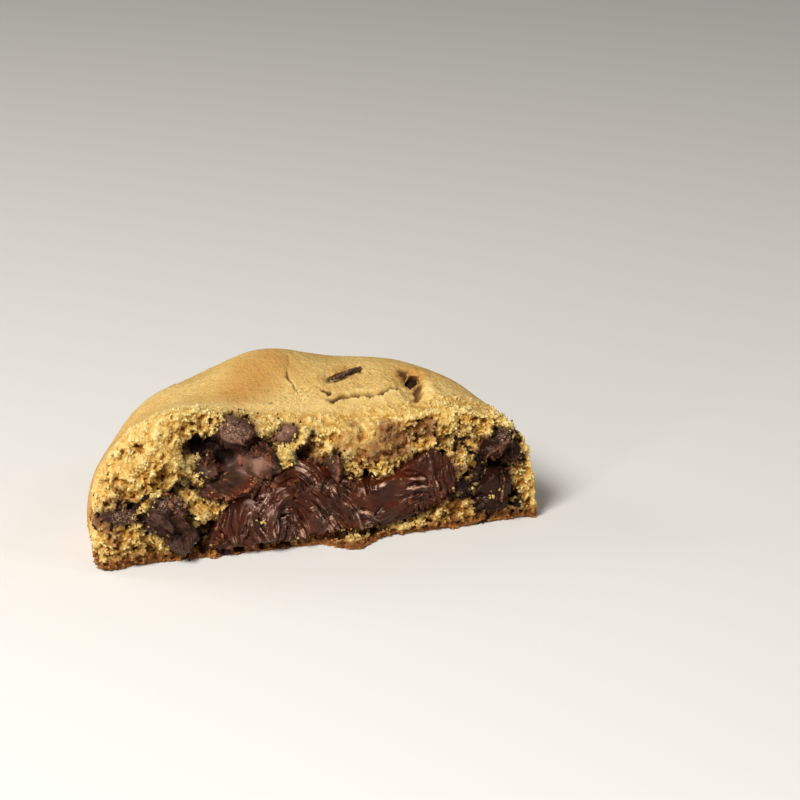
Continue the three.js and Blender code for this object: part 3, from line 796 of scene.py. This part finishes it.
def make_heart(material):
    heart = cad_copy("molten_chocolate", "molten_heart")
    remesh(heart, CHOCOLATE_VOXEL, 8)
    pull_strands(heart, STRANDS, SMOOTH_SPOTS)
    form(heart, striations_tree(), STRIATIONS)
    return dress(heart, ["molten_heart"], material)


# ------------------------------------------------------------------ chopped chocolate


def chopped_tree():
    """Breaks a block of chocolate into flat facets that lean each their own way, with a finely rough fracture."""
    tree, add, given = form_tree("chopped", size=["Facet", "Tilt", "Step", "Grit", "Sink"], seed=["Seed"])
    place = place_in_mm(add)
    lean = {"Vector": place, "Rotation": (0.3, -0.7, 0.2)}
    lean = add("VectorRotate", lean, rotation_type="EULER_XYZ")
    slices = add("VectorMath", [lean, (0.45, 0.7, 1.2)], "MULTIPLY")
    slices = add("VectorMath", [slices, given["Seed"]], "ADD")
    fine = add("Math", [1.0, given["Facet"]], "DIVIDE")
    broken = add("TexVoronoi", {"Vector": slices, "Scale": fine}, out=None)
    gap = add("VectorMath", [slices, broken["Position"]], "SUBTRACT")
    lean = add("VectorMath", [broken["Color"], (0.5, 0.5, 0.5)], "SUBTRACT")
    tilt = add("VectorMath", [gap, lean], "DOT_PRODUCT", out="Value")
    tilt = add("Math", [tilt, given["Tilt"]], "MULTIPLY")
    step = add("SeparateXYZ", [lean])
    step = add("Math", [step, given["Step"]], "MULTIPLY")
    grit = add("TexNoise", {"Vector": place, "Scale": 1.2, "Detail": 3.0})
    grit = add("Math", [grit, 0.5], "SUBTRACT")
    grit = add("Math", [grit, given["Grit"]], "MULTIPLY")
    rise = add("Math", [step, grit], "ADD")
    rise = add("Math", [rise, tilt], "ADD")
    rough = add("InputNamedAttribute", {"Name": "ribbed"})
    rise = add("Math", [rise, rough], "MULTIPLY")
    rise = add("Math", [rise, given["Sink"]], "SUBTRACT")
    add("NodeGroupOutput", [raised(add, given["Mesh"], rise)], out=None)
    return tree


def fill_bowl(piece):
    """Joins the lobes of the upper left chunk by one smooth bowl that faces the tear."""
    places = places_of(piece)
    x, y, z = from_tear(places).T
    ease = [np.clip(share, 0, 1) for share in ((x + 17.6) / 6.5, (-20.8 - x) / 3.2, (16.8 - z) / 2.4)]
    right, left, lip = (share**2 * (3 - 2 * share) for share in ease)
    right *= np.clip((22.5 - z) / 1.5, 0, 1) * np.clip((z - 14.9) / 1.3, 0, 1)
    left *= np.clip((20.0 - z) / 1.5, 0, 1)
    floor = BOWL["Floor"] - np.maximum.reduce([BOWL["Right"] * right, BOWL["Left"] * left, BOWL["Lip"] * lip])
    front = (facing_of(piece)[:, 1] < 0.2) & (y < 7.5) & (z < 22.5)
    places[front, 1] = (np.minimum(y, floor) + TEAR_MIDDLE[1])[front] * MM
    move(piece, places)


def make_chunks(material):
    tree = chopped_tree()
    made = []
    for node, row in CHUNKS.items():
        sizes = dict(zip(CHUNK_SIZES, row))
        chunk = cad_copy(node.replace("chunk", "chopped"), node)
        remesh(chunk, CHOCOLATE_VOXEL, 1)
        if node == "chunk_upper_left":
            fill_bowl(chunk)
            remesh(chunk, CHOCOLATE_VOXEL, 6)
        dig(chunk, HOLLOWS, 0.3, 0.0)
        pull_strands(chunk, EDGES, SMOOTH_CHUNK)
        if "crust" in node:
            keep(chunk.data, "ribbed", np.ones(len(chunk.data.vertices)))
        form(chunk, tree, sizes)
        if "crust" not in node:
            form(chunk, tree, {**SPLIT, "Seed": sizes["Seed"]})
        face = from_tear(places_of(chunk))[:, [0, 2]]
        keep(chunk.data, "bloom", np.clip(sizes["Bloom"] + spots(face, BLOOMED), 0, 1))
        # The dark mark is painted shade in a chunk's bowl.
        for name, circles in (("dark", PAINTED_SHADE_IN_BOWLS), ("melted", MELTED_CHUNK), ("dusty", DUSTY)):
            keep(chunk.data, name, spots(face, circles))
        made.append(dress(chunk, [node], material))
    return made


# ------------------------------------------------------------------ crumbs and shreds on the chocolate


def rims_tree():
    """How near the dough each point of the chocolate is, broken up by chance: 1 at a crumb, 0 away from it."""
    tree, add, given = form_tree("rims", solid=["Dough"])
    dough = add("ObjectInfo", {"Object": given["Dough"]}, out="Geometry")
    near = add("Proximity", [dough], out="Distance")
    chance = add("TexNoise", {"Vector": place_in_mm(add), "Scale": 0.5, "Detail": 3.0})
    far = add("MapRange", [chance, 0.4, 0.65, 0.2 * MM, 2.6 * MM])
    rim = add("MapRange", [near, far, 0.0])
    rim = add("Math", [rim, in_sight(add)], "MULTIPLY")
    clustered = add("TexNoise", {"Vector": place_in_mm(add), "Scale": 1.1, "Detail": 2.0})
    patchy = add("MapRange", [clustered, 0.48, 0.62])
    add("NodeGroupOutput", [marked(add, given["Mesh"], {"rim": rim, "patchy": patchy})], out=None)
    return tree


def strew(dough, chocolates, crumb, chopped):
    """Crumbs and shreds on the chocolate, and bits of chocolate in the crumb near it."""
    skin = new_piece("all_skins", [piece.data for piece in chocolates])
    form(skin, rims_tree(), {"Dough": dough})
    mesh = skin.data
    face = from_tear(places_of(skin))[:, [0, 2]]
    front = np.clip(-facing_of(skin)[:, 1] / 0.4, 0, 1)
    rim, patchy = numbers(mesh, "rim"), numbers(mesh, "patchy")
    for name, value in (("torn", 1.0), ("height", -0.1), ("above", 0.0), ("near_chocolate", 1.0)):
        keep(mesh, name, np.full(len(rim), value))
    keep(mesh, "share", np.clip((rim + 0.6 * spots(face, CRUMBLED)) * patchy * front, 0, 1))
    scatter("stray_crumbs", skin, crumb)
    share = np.clip((0.4 * rim + spots(face, SHREDDED)) * patchy + spots(face, CLUSTERED), 0, 1) * front
    keep(mesh, "share", share)
    scatter("chocolate_shreds", skin, chopped)
    share = spots(face, SHARDED) * front
    keep(mesh, "share", np.ones(len(share)))
    joined = bmesh.new()
    joined.from_mesh(mesh)
    joined.verts.ensure_lookup_table()
    bmesh.ops.delete(joined, geom=[joined.verts[i] for i in np.flatnonzero(share < 0.4)], context="VERTS")
    joined.to_mesh(mesh)
    joined.free()
    scatter("chocolate_shards", skin, chopped)
    bpy.data.objects.remove(skin)
    scatter("crumb_grains", dough, crumb)
    mesh = dough.data
    whole = numbers(mesh, "share")
    close = np.exp(-numbers(mesh, "near_chocolate") / 1.2) + 0.1 * numbers(mesh, "stained")
    bits = np.clip(0.25 * close, 0, 1) * (whole > 0.05)
    keep(mesh, "share", bits)
    scatter("chocolate_bits", dough, chopped)


# ------------------------------------------------------------------ materials


def new_material(name):
    """A material, the function that adds a node to it, and its surface."""
    material = bpy.data.materials.new(name)
    material.use_nodes = True
    return material, adder(material.node_tree), material.node_tree.nodes["Principled BSDF"]


def laid(add, colour, *layers):
    """Colours laid over a first one in turn, each to its share. A colour is sRGB hex, or another node's output."""
    for share, over in layers:
        over = linear(over) if isinstance(over, str) else over
        colour = add("Mix", {0: share, 6: colour, 7: over}, data_type="RGBA", out=2)
    return colour


def marks_of(add, *names):
    """The numbers that a piece keeps on its points under these names."""
    return [add("Attribute", attribute_name=name, out="Fac") for name in names]


def ramp(add, value, low, high, stops):
    """Colours along a value that runs from low to high."""
    share = add("MapRange", [value, low, high])
    colour = add("ValToRGB", [share])
    elements = colour.node.color_ramp.elements
    while len(elements) < len(stops):
        elements.new(0.5)
    for element, (spot, code) in zip(elements, stops):
        element.position, element.color = spot, linear(code)
    return colour


def baked_butter_dough():
    # Butter cookie dough, baked: matt all over. The crust is tan and finely pored, browned where it stands highest,
    # with painted shade in its cracks; the crumb is toffee brown in its pits and pale on its tops, partly its own tone
    # and partly painted shade and light, and toffee brown beside the chocolate.
    material, add, surface = new_material("baked_butter_dough")
    place = add("TexCoord", out="Object")
    torn, height, above, near_chocolate, tint = marks_of(add, "torn", "height", "above", "near_chocolate", "tint")
    browned, painted_shade, stained, smeared = marks_of(add, "browned", "painted_shade", "stained", "smeared")
    painted_crack_shade, crumbly = marks_of(add, "painted_crack_shade", "crumbly")
    across, back, level = add("SeparateXYZ", [place], out=None)
    speck = add("TexNoise", {"Vector": place, "Scale": 0.55 / MM, "Detail": 4.0, "Roughness": 0.6})
    patch = add("TexNoise", {"Vector": place, "Scale": 0.1 / MM, "Detail": 3.0})

    # Crumb: its height, shifted a little by chance and from grain to grain.
    lift = add("Math", [speck, 0.9, -0.45], "MULTIPLY_ADD")
    lift = add("Math", [tint, 0.25, lift], "MULTIPLY_ADD")
    lift = add("Math", [height, 1.0, lift], "MULTIPLY_ADD")
    sunk = add("Math", [above, 0.0], "MINIMUM")
    lift = add("Math", [sunk, 0.12, lift], "MULTIPLY_ADD")
    # Painted shade darkens the crumb in its pits and painted light makes it paler on its tops, over its own tan.
    stops = [(0.0, "#6A3A0E"), (0.25, "#A26A22"), (0.5, "#C49444"), (0.75, "#DEBA6C"), (1.0, "#EED896")]
    crumb_tone_by_height = ramp(add, lift, -0.8, 0.45, stops)
    tinged = add("Math", [stained, patch], "MULTIPLY")
    tinged = add("Math", [tinged, speck], "MULTIPLY")
    tinged = add("MapRange", {0: tinged, 1: 0.1, 2: 0.28, 4: 0.8})
    reach = add("MapRange", [patch, 0.35, 0.65, 0.4, 2.4])
    soaked = add("MapRange", [near_chocolate, 0.1, reach, 0.85, 0.0])
    # Painted shade: near-black brown laid over the crumb in its shadowed gaps and holes.
    painted_shade_share = add("Math", [painted_shade, 0.9], "MULTIPLY")
    # The browned foot of the crumb: thin where it is palest, a little right of the middle, and thick at the ends.
    ends = add("Math", [across, 11 * MM], "SUBTRACT")
    ends = add("Math", [ends], "ABSOLUTE")
    ends = add("MapRange", [ends, 7 * MM, 33 * MM, 1.8 * MM, 5.4 * MM])
    uneven = add("MapRange", [patch, 0.38, 0.62, 0.6, 1.5])
    ends = add("Math", [ends, uneven], "MULTIPLY")
    low = add("MapRange", [level, ends, 1.0 * MM])
    low = add("Math", [low, speck], "MULTIPLY")
    low = add("MapRange", {0: low, 1: 0.08, 2: 0.42, 4: 0.92})
    dark = ramp(add, lift, -0.5, 0.5, [(0.0, "#2A0E02"), (0.5, "#72340A"), (1.0, "#AC6A26")])
    smear = add("Math", [smeared, speck], "MULTIPLY")
    smear = add("MapRange", [smear, 0.28, 0.4])
    stains_and_shade = (tinged, "#7A4224"), (soaked, "#56301E"), (painted_shade_share, "#26140B")
    crumb = laid(add, crumb_tone_by_height, *stains_and_shade, (low, dark), (smear, "#26110A"))

    # Crust: cloudy tan, browned on its hills and towards its foot, darker in its pores, with painted shade in its
    # cracks.
    cloudy = add("MapRange", [patch, 0.38, 0.62])
    cloudy = add("Math", [cloudy, 0.75], "MULTIPLY")
    grainy = add("TexNoise", {"Vector": place, "Scale": 1.6 / MM, "Detail": 3.0, "Roughness": 0.7})
    tan = ramp(add, grainy, 0.3, 0.7, [(0.0, "#BA8A42"), (0.5, "#D9B468"), (1.0, "#EBCE8C")])
    pale = add("MapRange", {0: back, 1: (TEAR_MIDDLE[1] + 14) * MM, 2: (TEAR_MIDDLE[1] + 3) * MM, 4: 0.7})
    brown = add("MapRange", [grainy, 0.3, 0.7, 0.1, 0.9])
    brown = add("Math", [browned, brown], "MULTIPLY")
    foot = add("MapRange", [level, 25 * MM, 4 * MM])
    pore = add("TexVoronoi", {"Vector": place, "Scale": 0.45 / MM})
    pore = add("MapRange", {0: pore, 1: 0.15, 2: 0.06, 4: 0.5})
    # Painted shade inside the cracks.
    crack_shade_share = add("MapRange", {0: painted_crack_shade, 1: 0.12, 2: 0.5, 4: 0.95})
    clouds = (cloudy, "#C99D54"), (pale, "#F0D292"), (brown, "#AC6E2C"), (foot, "#BE7826")
    crust = laid(add, tan, *clouds, (pore, "#8A5A26"), (crack_shade_share, "#4A270B"))
    broken = add("Math", [crumbly, 0.55], "MULTIPLY")
    broken = add("Math", [broken, torn], "MAXIMUM")

    coarse = add("TexNoise", {"Vector": place, "Scale": 0.5 / MM, "Detail": 2.0})
    grain = add("Math", [coarse, 1.5, grainy], "MULTIPLY_ADD")
    bump = add("Bump", {"Strength": 1.0, "Distance": 0.35 * MM, "Height": grain})
    feed(surface, {"Base Color": laid(add, crust, (broken, crumb)), "Normal": bump, "Roughness": 0.8})
    feed(surface, {"Specular IOR Level": 0.25, "Subsurface Weight": 0.15})
    feed(surface, {"Subsurface Radius": (1.0, 0.5, 0.2), "Subsurface Scale": 0.6 * MM})
    return material


def molten_dark_chocolate():
    # Dark chocolate, melted and pulled: near black, with a painted red-brown glow where light would get in, painted
    # shade in the troughs of its ribs, painted highlights on the crests of its folds, and a wet sharp gloss, strongest
    # where its folds are sharp.
    material, add, surface = new_material("molten_dark_chocolate")
    place = add("TexCoord", out="Object")
    painted_glow_spots, sharp, ribbed = marks_of(add, "painted_glow", "sharp", "ribbed")
    slow = add("TexNoise", {"Vector": place, "Scale": 0.18 / MM, "Detail": 3.0})
    slow = add("MapRange", [slow, 0.35, 0.65])
    # Painted glow: red-brown where light would shine through.
    painted_glow = add("Math", [painted_glow_spots, slow], "MULTIPLY")

    # Painted highlights on the crests of the ribs, where they run sharp, broken up along their way.
    pull = add("Attribute", attribute_name="pull", out="Vector")
    ribs = add("VectorMath", [pull, (1 / STRIATIONS["Along"], 1 / STRIATIONS["Across"], 1.0)], "MULTIPLY")
    ribs = add("TexNoise", {"Vector": ribs, "Scale": 1.0, "Detail": 2.0, "Distortion": 0.3})
    ribs = add("Math", [ribs, 0.5], "SUBTRACT")
    ribs = add("Math", [ribs], "ABSOLUTE")
    fine = add("VectorMath", [pull, (0.35, 3.2, 1.0)], "MULTIPLY")
    fine = add("TexNoise", {"Vector": fine, "Scale": 1.0, "Detail": 3.0})
    thread = add("Math", [fine, 0.5], "SUBTRACT")
    thread = add("Math", [thread], "ABSOLUTE")
    thread = add("MapRange", [thread, 0.05, 0.01])
    painted_crest_highlight = add("MapRange", [ribs, 0.06, 0.02])
    painted_crest_highlight = add("Math", [painted_crest_highlight, thread], "MULTIPLY")
    fold = add("SeparateXYZ", [pull], out=1)
    fold = add("Math", [fold], "ABSOLUTE")
    fold = add("MapRange", [fold, 0.13, 0.0])
    painted_crest_highlight = add("Math", [painted_crest_highlight, fold], "MAXIMUM")
    chance = add("TexNoise", {"Vector": place, "Scale": 0.7 / MM, "Detail": 2.0})
    chance = add("MapRange", [chance, 0.42, 0.6])
    painted_crest_highlight = add("Math", [painted_crest_highlight, chance], "MULTIPLY")
    painted_crest_highlight = add("Math", [painted_crest_highlight, sharp], "MULTIPLY")
    # Painted shade in the troughs between the ribs.
    painted_trough_shade = add("MapRange", [ribs, 0.08, 0.2])
    painted_trough_shade = add("Math", [painted_trough_shade, sharp], "MULTIPLY")
    layers = (slow, "#4A1906"), (painted_glow, "#5A2810"), (painted_trough_shade, "#140805"), (painted_crest_highlight, "#E0B298")

    fine = add("Math", [fine, ribbed], "MULTIPLY")
    wavy = add("TexNoise", {"Vector": place, "Scale": 1.5 / MM, "Detail": 2.0})
    wavy = add("Math", [wavy, sharp], "MULTIPLY")
    fine = add("Math", [wavy, 3.0, fine], "MULTIPLY_ADD")
    bump = add("Bump", {"Strength": 0.6, "Distance": 0.2 * MM, "Height": fine})
    wet = add("MapRange", {0: sharp, 3: 0.34, 4: 0.12})
    feed(surface, {"Base Color": laid(add, linear("#2A0D04"), *layers), "Normal": bump, "Roughness": wet})
    feed(surface, {"IOR": 1.46, "Specular Tint": linear("#FFDCC6")})
    return material


def chopped_dark_chocolate():
    # Dark chocolate, chopped cold: satin fracture faces with a thin grey-mauve bloom, painted shade in the bowl of a
    # chunk, and edges painted lighter as a highlight.
    material, add, surface = new_material("chopped_dark_chocolate")
    place = add("TexCoord", out="Object")
    bloomed, tint, melted, dark = marks_of(add, "bloom", "tint", "melted", "dark")
    dusty, ribbed = marks_of(add, "dusty", "ribbed")
    slow = add("TexNoise", {"Vector": place, "Scale": 0.35 / MM, "Detail": 5.0})
    bloom = add("MapRange", [slow, 0.35, 0.6, 0.25])
    bloom = add("Math", [bloom, bloomed], "MULTIPLY")
    tint = add("MapRange", [tint, 0.4, 1.0])
    pull = add("Attribute", attribute_name="pull", out="Vector")
    pull = add("SeparateXYZ", [pull], out=None)
    # Painted highlight: the edges of chunks painted lighter, broken up here and there.
    painted_edge_highlight = add("Math", [pull[1]], "ABSOLUTE")
    painted_edge_highlight = add("MapRange", [painted_edge_highlight, 0.17, 0.04])
    edged = add("Math", [pull[2], 1.0], "GREATER_THAN")
    painted_edge_highlight = add("Math", [painted_edge_highlight, edged], "MULTIPLY")
    edge_highlight_breakup = add("TexNoise", {"Vector": place, "Scale": 0.8 / MM, "Detail": 3.0})
    edge_highlight_breakup = add("MapRange", [edge_highlight_breakup, 0.4, 0.55])
    painted_edge_highlight = add("Math", [painted_edge_highlight, edge_highlight_breakup], "MULTIPLY")
    dust = add("TexNoise", {"Vector": place, "Scale": 3.0 / MM, "Detail": 2.0})
    dust = add("MapRange", {0: dust, 1: 0.52, 2: 0.66, 4: 0.7})
    dust = add("Math", [dust, dusty], "MULTIPLY")
    # The dark layer is painted shade in the bowl of a chunk.
    broken = (bloom, "#86604F"), (tint, "#744228"), (melted, "#5A2A1A"), (dark, "#1C0D08")
    colour = laid(add, linear("#241008"), *broken, (painted_edge_highlight, "#8E503A"), (dust, "#C4A084"))
    wet = add("MapRange", {0: melted, 3: 0.46, 4: 0.2})
    grit = add("TexNoise", {"Vector": place, "Scale": 2.2 / MM, "Detail": 3.0})
    split = add("TexVoronoi", {"Vector": place, "Scale": 1.1 / MM})
    rough = add("Math", [split, grit], "ADD")
    rough = add("Math", [rough, ribbed], "MULTIPLY")
    bump = add("Bump", {"Strength": 0.6, "Distance": 0.3 * MM, "Height": rough})
    feed(surface, {"Base Color": colour, "Normal": bump, "Roughness": wet})
    feed(surface, {"IOR": 1.36, "Specular Tint": linear("#FFDCC6")})
    return material


# ------------------------------------------------------------------ floor, light and camera


def matt(name, code):
    material, _, surface = new_material(name)
    feed(surface, {"Base Color": linear(code), "Roughness": 0.9})
    return material


def set_studio():
    scene = bpy.context.scene
    scene.view_settings.view_transform = "Standard"
    bpy.ops.mesh.primitive_plane_add(size=12)
    floor = bpy.context.object
    floor.name = "studio_floor"
    floor.data.materials.append(matt("studio_paper", "#E4E0D8"))

    world = bpy.data.worlds.new("studio")
    world.use_nodes = True
    feed(world.node_tree.nodes["Background"], [linear("#F2F0EC"), 0.16])
    scene.world = world
    middle = Vector((0, -0.01, 0.015))
    for name, place, width, height, power in (
        ("key", (-0.42, -0.36, 0.60), 0.3, 0.3, 7.2),
        ("fill", (0.6, -0.7, 0.35), 0.9, 0.9, 0.6),
        ("rim", (-0.55, 0.4, 0.35), 0.3, 0.3, 1.2),
        ("glint", (-0.62, -0.52, 0.2), 0.08, 0.3, 1.2),
        ("sparkle", (0.5, -0.42, 0.62), 0.12, 0.12, 0.6),
    ):
        lamp = bpy.data.lights.new(name, "AREA")
        lamp.shape = "RECTANGLE"
        lamp.size, lamp.size_y, lamp.energy = width, height, power
        light = bpy.data.objects.new(name, lamp)
        light.location = place
        light.rotation_euler = (middle - Vector(place)).to_track_quat("-Z", "Y").to_euler()
        scene.collection.objects.link(light)

    lens = bpy.data.cameras.new("camera")
    lens.lens, lens.sensor_width = CAMERA["lens"], CAMERA["sensor"]
    camera = bpy.data.objects.new("camera", lens)
    camera.location = Vector(CAMERA["place"]) * MM
    camera.rotation_euler = (math.radians(90 - CAMERA["elevation"]), 0, math.radians(CAMERA["azimuth"]))
    scene.collection.objects.link(camera)
    scene.camera = camera


# ------------------------------------------------------------------ the half cookie

chocolate = cad_copy("all_chocolate", "molten_heart", *CHUNKS)
scattered = scatter_tree()
crumb_finish, chopped_finish = baked_butter_dough(), chopped_dark_chocolate()
dough = make_dough(crumb_finish, chocolate)
bpy.data.objects.remove(chocolate)
chocolates = [make_heart(molten_dark_chocolate()), *make_chunks(chopped_finish)]
strew(dough, chocolates, crumb_finish, chopped_finish)
set_studio()
